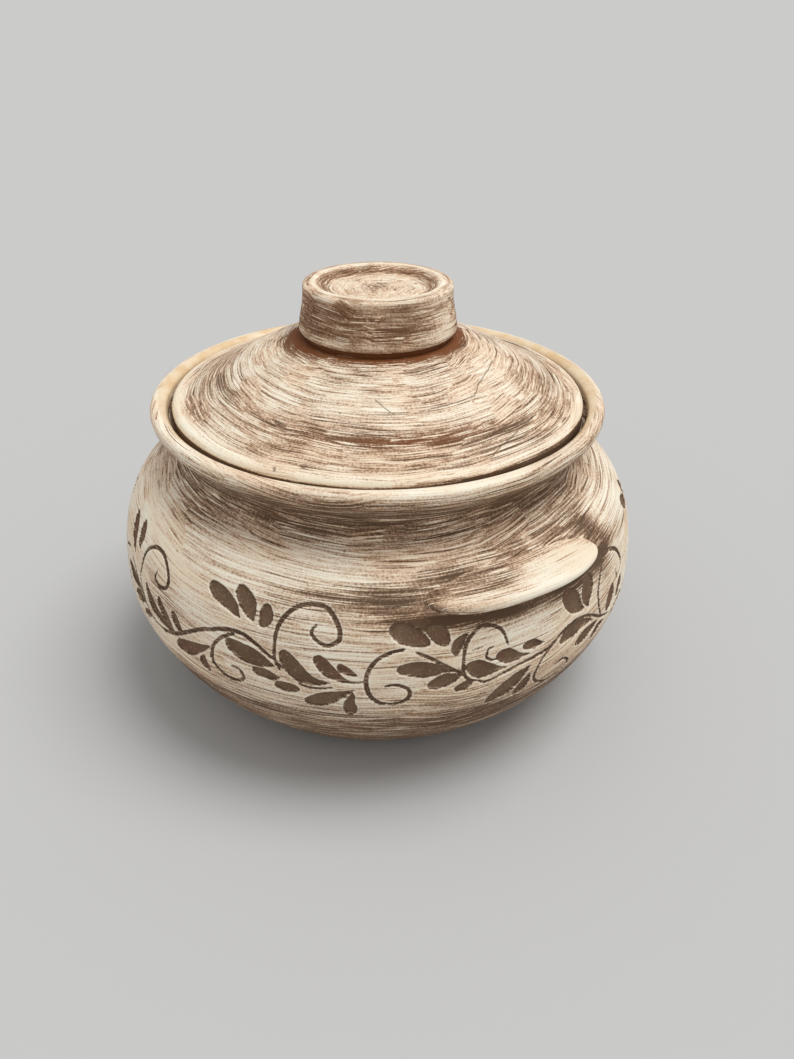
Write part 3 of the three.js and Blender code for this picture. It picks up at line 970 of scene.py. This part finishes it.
class Graph:
    """Short names for adding and joining shader nodes."""

    def __init__(self, tree):
        self.tree = tree

    def feed(self, socket, value):
        if isinstance(value, bpy.types.NodeSocket):
            self.tree.links.new(value, socket)
        else:
            socket.default_value = value

    def add(self, kind, values=None, **settings):
        node = self.tree.nodes.new(kind)
        for name, value in settings.items():
            setattr(node, name, value)
        for name, value in (values or {}).items():
            self.feed(node.inputs[name], value)
        return node

    def math(self, operation, *values, clamp=False):
        node = self.add("ShaderNodeMath", operation=operation, use_clamp=clamp)
        for socket, value in zip(node.inputs, values):
            self.feed(socket, value)
        return node.outputs[0]

    def times(self, first, second):
        return self.math("MULTIPLY", first, second)

    def swing(self, value):
        """How far a value between 0 and 1 lies from the middle."""
        return self.math("SUBTRACT", value, 0.5)

    def weighted(self, *pairs):
        """Sum of values, each times its weight."""
        total = 0.0
        for value, weight in pairs:
            total = self.math("MULTIPLY_ADD", value, weight, total)
        return total

    def step(self, value, low, high, to_low=0.0, to_high=1.0):
        """Smooth change from to_low to to_high as the value goes from low to high."""
        node = self.add("ShaderNodeMapRange", interpolation_type="SMOOTHSTEP")
        for socket, number in zip(node.inputs, (value, low, high, to_low, to_high)):
            self.feed(socket, number)
        return node.outputs[0]

    def mix(self, factor, first, second, blend="MIX"):
        node = self.add("ShaderNodeMix", data_type="RGBA", blend_type=blend)
        for index, value in ((0, factor), (6, first), (7, second)):
            self.feed(node.inputs[index], value)
        return node.outputs[2]

    def noise(self, vector, scale=1.0, detail=2.0, roughness=0.5):
        values = {"Vector": vector, "Scale": scale, "Detail": detail, "Roughness": roughness}
        return self.add("ShaderNodeTexNoise", values).outputs[0]

    def attribute(self, name):
        return self.add("ShaderNodeAttribute", attribute_name=name).outputs["Fac"]

    def place(self, group, **values):
        """A node group with its named inputs set. An underscore stands for a space."""
        node = self.add("ShaderNodeGroup", node_tree=group)
        for name, value in values.items():
            self.feed(node.inputs[name.replace("_", " ")], value)
        return node.outputs


def opaque(colour):
    """A colour with full alpha."""
    return (*colour, 1.0)


def new_group(name, inputs, outputs):
    """A shader node group with named sockets, as its graph, its input sockets and its output node."""
    tree = bpy.data.node_groups.new(name, "ShaderNodeTree")
    for label, default in inputs.items():
        kinds = {3: "NodeSocketVector", 4: "NodeSocketColor"}
        kind = "NodeSocketFloat" if isinstance(default, float) else kinds[len(default)]
        tree.interface.new_socket(label, in_out="INPUT", socket_type=kind).default_value = default
    for label in outputs:
        kind = "NodeSocketColor" if label == "Color" else "NodeSocketFloat"
        tree.interface.new_socket(label, in_out="OUTPUT", socket_type=kind)
    graph = Graph(tree)
    return graph, graph.add("NodeGroupInput").outputs, graph.add("NodeGroupOutput").inputs


def brush_group():
    """Brush lines that run round the axis: fine lines, hairs, sparse long streaks and broad patches."""
    graph, given, made = new_group(
        "Brush lines",
        {
            "Run": 0.0, "Tilt X": 0.0, "Tilt Y": 0.0, "Strokes": 3.0, "Line Width": 0.001, "Wander": 0.004,
            "Seed": 0.0,
        },
        ("Lines", "Hair", "Streaks", "Broad"),
    )
    place = graph.add("ShaderNodeTexCoord").outputs["Object"]
    x, y, _ = graph.add("ShaderNodeSeparateXYZ", {"Vector": place}).outputs
    radius = graph.math("SQRT", graph.math("MULTIPLY_ADD", x, x, graph.times(y, y)))
    safe_radius = graph.math("MAXIMUM", radius, 0.002)
    across_x = graph.math("DIVIDE", x, safe_radius)
    across_y = graph.math("DIVIDE", y, safe_radius)

    def vector(level, strokes, per_metre, shift):
        round_x = graph.math("MULTIPLY_ADD", across_x, strokes, given["Seed"])
        round_y = graph.times(across_y, strokes)
        up = graph.math("MULTIPLY_ADD", level, per_metre, shift)
        return graph.add("ShaderNodeCombineXYZ", {"X": round_x, "Y": round_y, "Z": up}).outputs[0]

    straight = graph.weighted((given["Run"], 1.0), (x, given["Tilt X"]), (y, given["Tilt Y"]))
    drift = graph.noise(vector(straight, 1.5, 14.0, 3.1), detail=1.0)
    level = graph.math("MULTIPLY_ADD", graph.swing(drift), given["Wander"], straight)
    per_line = graph.math("DIVIDE", 1.0, given["Line Width"])
    strokes = given["Strokes"]
    long_strokes = graph.times(strokes, 0.7)
    short_strokes = graph.times(strokes, 1.7)
    per_hair = graph.times(per_line, 2.1)
    lines = graph.noise(vector(level, strokes, per_line, 0.0), detail=2.0, roughness=0.6)
    hair = graph.noise(vector(level, short_strokes, per_hair, 9.0), detail=1.0)
    long_lines = graph.noise(vector(level, long_strokes, per_line, 21.0), detail=1.0)
    streaks = graph.math("SUBTRACT", graph.step(long_lines, 0.60, 0.72), graph.step(long_lines, 0.40, 0.28))
    broad = graph.noise(vector(level, 2.2, 55.0, 5.0), detail=3.0, roughness=0.6)
    for name, value in (("Lines", lines), ("Hair", hair), ("Streaks", streaks), ("Broad", broad)):
        graph.feed(made[name], value)
    return graph.tree


def grain_group():
    """Grain of the fired clay: fine tooth, mottling and sparse dark pits."""
    graph, _, made = new_group("Clay grain", {}, ("Tooth", "Mottle", "Pits"))
    place = graph.add("ShaderNodeTexCoord").outputs["Object"]
    graph.feed(made["Tooth"], graph.noise(place, 1150.0, 3.0, 0.7))
    graph.feed(made["Mottle"], graph.noise(place, 90.0, 3.0, 0.6))
    cells = graph.add("ShaderNodeTexVoronoi", {"Vector": place, "Scale": 170.0, "Randomness": 1.0})
    chosen = graph.noise(place, 240.0, 1.0)
    small = graph.step(cells.outputs["Distance"], 0.05, 0.12, 1.0, 0.0)
    graph.feed(made["Pits"], graph.times(small, graph.step(chosen, 0.60, 0.66)))
    return graph.tree


def slip_group():
    """Slip over clay: the colour and relief that a dry brush leaves for a given coverage."""
    levels = {"Cover": 0.5, "Contrast": 1.0, "Lines": 0.5, "Hair": 0.5, "Streaks": 0.0, "Broad": 0.5}
    tones = dict.fromkeys(("Clay", "Stain", "Film", "Slip", "Cream", "Warm Clay"), opaque((0.5, 0.4, 0.3)))
    graph, given, made = new_group(
        "Slip over clay", {**levels, "Tooth": 0.5, "Warmth": 0.0, **tones}, ("Color", "Mask", "Height")
    )
    bright_hair = graph.times(graph.step(given["Hair"], 0.57, 0.68), graph.step(given["Cover"], 0.12, 0.28))
    brushed = graph.weighted(
        (graph.swing(given["Lines"]), 1.35), (graph.swing(given["Hair"]), 0.70),
        (graph.swing(given["Broad"]), 0.75), (graph.swing(given["Tooth"]), 1.15),
        (given["Streaks"], -0.42), (graph.math("SUBTRACT", bright_hair, 0.18), 0.45),
    )
    density = graph.math("MULTIPLY_ADD", brushed, given["Contrast"], given["Cover"])

    def warmed(name, share):
        return graph.mix(graph.times(given["Warmth"], share), given[name], given["Warm Clay"])

    colour = warmed("Clay", 1.0)
    for low, high, tone in (
        (0.08, 0.30, warmed("Stain", 0.7)), (0.26, 0.50, warmed("Film", 0.4)),
        (0.48, 0.68, given["Slip"]), (0.72, 1.02, given["Cream"]),
    ):
        colour = graph.mix(graph.step(density, low, high), colour, tone)
    mask = graph.step(density, 0.2, 0.6)
    graph.feed(made["Color"], colour)
    graph.feed(made["Mask"], mask)
    graph.feed(made["Height"], graph.weighted((mask, 0.06), (given["Lines"], 0.12), (given["Tooth"], 0.04)))
    return graph.tree


def scratch_group():
    """One straight scratch between two places, seen along the axis."""
    graph, given, made = new_group(
        "Scratch", {"Start": (0.0, 0.0, 0.0), "End": (0.0, 0.0, 0.0), "Width": 0.0002}, ("Mask",)
    )

    def vector_math(operation, *values):
        node = graph.add("ShaderNodeVectorMath", operation=operation)
        for socket, value in zip(node.inputs, values):
            graph.feed(socket, value)
        return node.outputs["Value" if operation in ("DOT_PRODUCT", "LENGTH") else "Vector"]

    place = graph.add("ShaderNodeTexCoord").outputs["Object"]
    wobble = graph.add("ShaderNodeTexNoise", {"Vector": place, "Scale": 140.0}).outputs["Color"]
    shaken = vector_math("MULTIPLY_ADD", wobble, (0.0012, 0.0012, 0.0), place)
    from_start = vector_math("MULTIPLY", vector_math("SUBTRACT", shaken, given["Start"]), (1.0, 1.0, 0.0))
    whole = vector_math("SUBTRACT", given["End"], given["Start"])
    along = vector_math("DOT_PRODUCT", from_start, whole)
    share = graph.math("DIVIDE", along, vector_math("DOT_PRODUCT", whole, whole), clamp=True)
    gap = vector_math("LENGTH", vector_math("SUBTRACT", from_start, vector_math("MULTIPLY", whole, share)))
    graph.feed(made["Mask"], graph.step(graph.math("DIVIDE", gap, given["Width"]), 0.6, 1.4, 1.0, 0.0))
    return graph.tree


def shared_groups():
    """The node groups that every material uses, built once."""
    makers = {
        "Brush lines": brush_group, "Clay grain": grain_group, "Slip over clay": slip_group,
        "Scratch": scratch_group,
    }
    return {name: bpy.data.node_groups.get(name) or maker() for name, maker in makers.items()}


def carved_floor(graph, finish, grain, brush, mask, colour, height, roughness):
    """Bare clay in the cuts, dusty with slip, with painted shade along the inside of each edge and a lip
    outside it that is partly built-up slip and partly a painted highlight.
    """
    edge = graph.attribute("carve")
    # The cream lip just outside each cut is partly slip built up on the edge and partly a painted highlight.
    lip = graph.times(graph.step(edge, 0.05, 0.3), graph.step(edge, 0.5, 1.3, 1.0, 0.0))
    colour = graph.mix(graph.times(graph.times(lip, mask), 0.45), colour, opaque(finish.cream))
    ragged = graph.weighted(
        (edge, 1.0), (graph.swing(grain["Tooth"]), 0.6), (graph.swing(brush["Lines"]), 0.5),
        (graph.swing(grain["Mottle"]), 0.5),
    )
    cut = graph.step(ragged, -0.16, 0.10, 1.0, 0.0)
    floor = opaque(finish.carved)
    for share, tone in (
        (graph.step(grain["Mottle"], 0.36, 0.64), finish.carved_pale),
        (graph.times(graph.step(brush["Broad"], 0.5, 0.62), 0.6), finish.carved_red),
        # painted shade along the inside of each cut's edge
        (graph.step(edge, -0.9, -0.1, 0.0, 0.7), finish.cut_edge_shade),
    ):
        floor = graph.mix(share, floor, opaque(tone))
    dusty = graph.times(graph.step(grain["Tooth"], 0.52, 0.74), 0.45)
    near_edge = graph.step(edge, -0.85, -0.35, 0.0, 0.75)
    bridged = graph.times(graph.step(brush["Hair"], 0.55, 0.66), near_edge)
    floor = graph.mix(graph.math("MAXIMUM", dusty, bridged), floor, opaque(finish.film))
    height = graph.math("MULTIPLY_ADD", cut, -0.06, height)
    roughness = graph.math("MAXIMUM", roughness, graph.times(cut, 0.85))
    return graph.mix(cut, colour, floor), height, roughness


def on_top_view(mark):
    """Place of a (degrees from the front, radius in mm) mark, seen along the axis."""
    angle = math.radians(mark[0] + FRONT_DEGREES)
    return (mark[1] * MM * math.cos(angle), mark[1] * MM * math.sin(angle), 0.0)


def slip_material(name, finish, brush, cross_brush, contrast=1.0, carved=False, scratches=()):
    """Brushed slip over clay, with ochre glaze where the glaze attribute is 1."""
    material = bpy.data.materials.new(name)
    material.use_nodes = True
    graph = Graph(material.node_tree)
    shader = material.node_tree.nodes["Principled BSDF"]
    groups = shared_groups()
    run = graph.attribute("run")
    grain = graph.place(groups["Clay grain"])
    first = graph.place(groups["Brush lines"], Run=run, Line_Width=finish.line_width, **brush)
    second = graph.place(groups["Brush lines"], Run=run, Line_Width=finish.line_width, **cross_brush)
    crossing = graph.step(second["Broad"], 0.49, 0.55)
    both = {"Broad": first["Broad"]}
    for part in ("Lines", "Hair", "Streaks"):
        change = graph.math("SUBTRACT", second[part], first[part])
        both[part] = graph.math("MULTIPLY_ADD", change, crossing, first[part])
    tone_names = ("clay", "stain", "film", "slip", "cream")
    tones = {name.title(): opaque(getattr(finish, name)) for name in tone_names}
    slip = graph.place(
        groups["Slip over clay"], Cover=graph.attribute("cover"), Contrast=contrast, Tooth=grain["Tooth"],
        Warmth=graph.attribute("warm"), Warm_Clay=opaque(finish.warm), **tones, **both,
    )
    clay_roughness, slip_roughness, glaze_roughness, glaze_coat = 0.80, 0.62, 0.34, 0.4
    colour, height = slip["Color"], slip["Height"]
    roughness = graph.step(slip["Mask"], 0.0, 1.0, clay_roughness, slip_roughness)
    colour = graph.mix(graph.times(grain["Pits"], 0.7), colour, opaque(finish.clay))
    tinted = graph.times(graph.step(second["Broad"], 0.40, 0.62), 0.5)
    colour = graph.mix(tinted, colour, opaque(finish.tint), "MULTIPLY")
    if carved:
        surface = (slip["Mask"], colour, height, roughness)
        colour, height, roughness = carved_floor(graph, finish, grain, both, *surface)
    for start, end, width in scratches:
        ends = {"Start": on_top_view(start), "End": on_top_view(end)}
        mask = graph.place(groups["Scratch"], Width=width, **ends)["Mask"]
        colour = graph.mix(graph.times(mask, 0.65), colour, opaque(finish.clay))
        height = graph.math("MULTIPLY_ADD", mask, -0.12, height)
    glaze = graph.attribute("glaze")
    clouds = graph.step(grain["Mottle"], 0.30, 0.75)
    colour = graph.mix(glaze, colour, graph.mix(clouds, opaque(finish.glaze), opaque(finish.glaze_dark)))
    smoother = graph.math("SUBTRACT", glaze_roughness, roughness)
    roughness = graph.math("MULTIPLY_ADD", glaze, smoother, roughness)
    height = graph.times(height, graph.math("MULTIPLY_ADD", glaze, -0.85, 1.0))
    bump = graph.add("ShaderNodeBump", {"Height": height, "Distance": MM, "Strength": 1.0})
    graph.feed(shader.inputs["Base Color"], colour)
    graph.feed(shader.inputs["Roughness"], roughness)
    graph.feed(shader.inputs["Coat Weight"], graph.times(glaze, glaze_coat))
    graph.feed(shader.inputs["Normal"], bump.outputs["Normal"])
    shader.inputs["Coat Roughness"].default_value = 0.25
    shader.inputs["Specular IOR Level"].default_value = 0.35
    return material


def dress(piece, material):
    """Makes this the only material of a piece."""
    piece.data.materials.clear()
    piece.data.materials.append(material)


# Operators

class POTTERY_OT_bowl(bpy.types.Operator):
    """Turn the bowl, carve its scroll and brush it with slip"""

    bl_idname = "pottery.bowl"
    bl_label = "Bowl"

    def execute(self, context):
        scene = context.scene
        shape = scene.pottery_bowl
        outline = bowl_outline(shape)
        bowl = turn("bowl_body", outline, scene.pottery_stage.segments)
        carve(bowl, shape)
        smooth(bowl, degrees=50)
        cover_bowl(bowl, shape, outline)
        brush = {"Tilt X": 0.05, "Tilt Y": -0.03, "Strokes": 3.2, "Wander": 0.007, "Seed": 0.0}
        cross = {"Tilt X": 0.20, "Tilt Y": -0.12, "Strokes": 4.0, "Wander": 0.022, "Seed": 14.0}
        dress(bowl, slip_material("bowl slip", scene.pottery_slip, brush, cross, carved=True))
        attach(bowl, "pot")
        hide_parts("bowl")
        return {"FINISHED"}


class POTTERY_OT_lugs(bpy.types.Operator):
    """Shape the two lugs on the bowl's shoulder"""

    bl_idname = "pottery.lugs"
    bl_label = "Lugs"

    def execute(self, context):
        scene = context.scene
        shape = scene.pottery_lugs
        wall_radius, wall_height = wall_in_mm(scene.pottery_bowl)
        brush = {"Strokes": 3.6, "Wander": 0.004, "Seed": 31.0}
        cross = {"Strokes": 3.0, "Wander": 0.008, "Seed": 47.0}
        material = slip_material("lug slip", scene.pottery_slip, brush, cross)
        for name, node, middle in (
            ("lug_right", "handle_right", LUG_DEGREES),
            ("lug_left", "handle_left", LUG_DEGREES + 180),
        ):
            lug = model_lug(name, middle, shape, wall_radius, wall_height)
            smooth(lug, degrees=60)
            cover_lug(lug, middle, wall_radius, wall_height)
            dress(lug, material)
            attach(lug, "pot")
            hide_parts(node)
        return {"FINISHED"}


class POTTERY_OT_lid(bpy.types.Operator):
    """Turn the domed lid and brush it with slip"""

    bl_idname = "pottery.lid"
    bl_label = "Lid"

    def execute(self, context):
        scene = context.scene
        shape = scene.pottery_lid
        ledge = scene.pottery_bowl.ledge_height
        outline = lid_outline(shape, ledge)
        lid = turn("lid_dome", outline, scene.pottery_stage.segments)
        smooth(lid, degrees=50)
        cover_lid(lid, shape, ledge, outline)
        brush = {"Tilt X": 0.03, "Tilt Y": 0.02, "Strokes": 2.2, "Wander": 0.005, "Seed": 60.0}
        cross = {"Tilt X": 0.07, "Tilt Y": -0.06, "Strokes": 3.0, "Wander": 0.012, "Seed": 77.0}
        scratches = [
            (start, end, width * MM) for width, line in LID_SCRATCHES for start, end in zip(line, line[1:])
        ]
        dress(lid, slip_material("lid slip", scene.pottery_slip, brush, cross, scratches=scratches))
        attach(lid, "cover")
        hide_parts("lid")
        return {"FINISHED"}


class POTTERY_OT_knob(bpy.types.Operator):
    """Turn the knob with its groove and dish"""

    bl_idname = "pottery.knob"
    bl_label = "Knob"

    def execute(self, context):
        scene = context.scene
        outline = knob_outline(scene.pottery_lid)
        knob = turn("knob", outline, scene.pottery_stage.knob_segments)
        smooth(knob, degrees=45)
        cover_knob(knob, scene.pottery_lid, outline)
        brush = {"Tilt X": 0.02, "Tilt Y": 0.02, "Strokes": 1.3, "Wander": 0.003, "Seed": 90.0}
        cross = {"Tilt X": 0.14, "Tilt Y": 0.10, "Strokes": 1.7, "Wander": 0.008, "Seed": 105.0}
        dress(knob, slip_material("knob slip", scene.pottery_slip, brush, cross, contrast=0.75))
        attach(knob, "cover")
        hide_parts("lid_knob")
        return {"FINISHED"}


class POTTERY_OT_stage(bpy.types.Operator):
    """Set the floor, the lamps and the camera"""

    bl_idname = "pottery.stage"
    bl_label = "Stage"

    def execute(self, context):
        settings = context.scene.pottery_stage
        deselect()
        reach, drop = 30, 0.0002
        bpy.ops.mesh.primitive_circle_add(vertices=96, radius=reach, fill_type="NGON", location=(0, 0, -drop))
        floor = context.object
        floor.name = "floor"
        paper = bpy.data.materials.new("pale floor")
        paper.use_nodes = True
        paper_shader = paper.node_tree.nodes["Principled BSDF"]
        paper_shader.inputs["Base Color"].default_value = opaque(settings.floor_colour)
        paper_shader.inputs["Roughness"].default_value = 1.0
        paper_shader.inputs["Specular IOR Level"].default_value = 0.0
        dress(floor, paper)
        slope = Vector((0.36, 0.0, 1.0)).normalized()
        slope.rotate(Matrix.Rotation(math.radians(90 + FRONT_DEGREES), 3, "Z"))
        self.add_key_light(slope, settings.key_strength)
        self.set_world(context.scene, settings, slope.z)
        self.add_camera(context.scene, settings)
        context.scene.view_settings.view_transform = "Standard"
        return {"FINISHED"}

    def set_world(self, scene, settings, key_height):
        """Even light from all round. Beyond the floor the camera sees the floor's own tone."""
        world = bpy.data.worlds.new("soft light")
        scene.world = world
        world.use_nodes = True
        graph = Graph(world.node_tree)
        background = world.node_tree.nodes["Background"]
        floor_light = settings.sky_strength + settings.key_strength * key_height / math.pi
        seen = graph.add("ShaderNodeLightPath").outputs["Is Camera Ray"]
        white, added = opaque((1.0, 1.0, 1.0)), floor_light - settings.sky_strength
        graph.feed(background.inputs["Color"], graph.mix(seen, white, opaque(settings.floor_colour)))
        strength = graph.math("MULTIPLY_ADD", seen, added, settings.sky_strength)
        graph.feed(background.inputs["Strength"], strength)

    def add_key_light(self, towards, strength):
        lamp = bpy.data.lights.new("key light", "SUN")
        lamp.energy = strength
        lamp.angle = math.radians(35)
        holder = bpy.data.objects.new("key light", lamp)
        holder.location = towards
        holder.rotation_euler = towards.to_track_quat("Z", "Y").to_euler()
        bpy.context.collection.objects.link(holder)

    def add_camera(self, scene, settings):
        distance, height = 0.3499, 0.2738
        heading, pitch, roll = math.radians(1.41), math.radians(31.77), math.radians(0.49)
        level = math.cos(pitch)
        forward = Vector((math.sin(heading) * level, math.cos(heading) * level, -math.sin(pitch)))
        right = Vector((math.cos(heading), -math.sin(heading), 0))
        up = right.cross(forward)
        right, up = right * math.cos(roll) + up * math.sin(roll), up * math.cos(roll) - right * math.sin(roll)
        turn_round = Matrix.Rotation(math.radians(90 + FRONT_DEGREES), 3, "Z")
        axes = Matrix([turn_round @ right, turn_round @ up, turn_round @ -forward]).transposed()
        lens = bpy.data.cameras.new("camera")
        lens.lens = settings.lens
        lens.sensor_width = 36
        camera = bpy.data.objects.new("camera", lens)
        camera.matrix_world = Matrix.Translation(turn_round @ Vector((0, -distance, height))) @ axes.to_4x4()
        bpy.context.collection.objects.link(camera)
        scene.camera = camera


class POTTERY_PT_panel(bpy.types.Panel):
    """Lists the pieces and their settings"""

    bl_label = "Lidded bowl"
    bl_idname = "POTTERY_PT_panel"
    bl_space_type = "VIEW_3D"
    bl_region_type = "UI"
    bl_category = "Pottery"

    def draw(self, context):
        for operator in OPERATORS:
            self.layout.operator(operator.bl_idname)
        for name, settings in SETTINGS.items():
            box = self.layout.box()
            for field in settings.__annotations__:
                box.prop(getattr(context.scene, name), field)


OPERATORS = (POTTERY_OT_bowl, POTTERY_OT_lugs, POTTERY_OT_lid, POTTERY_OT_knob, POTTERY_OT_stage)


def register():
    for item in (*SETTINGS.values(), *OPERATORS, POTTERY_PT_panel):
        bpy.utils.register_class(item)
    for name, settings in SETTINGS.items():
        setattr(bpy.types.Scene, name, PointerProperty(type=settings))


def unregister():
    for name in SETTINGS:
        delattr(bpy.types.Scene, name)
    for item in reversed((*SETTINGS.values(), *OPERATORS, POTTERY_PT_panel)):
        bpy.utils.unregister_class(item)


def main():
    register()
    bpy.ops.pottery.bowl()
    bpy.ops.pottery.lugs()
    bpy.ops.pottery.lid()
    bpy.ops.pottery.knob()
    bpy.ops.pottery.stage()


if __name__ == "__main__":
    main()
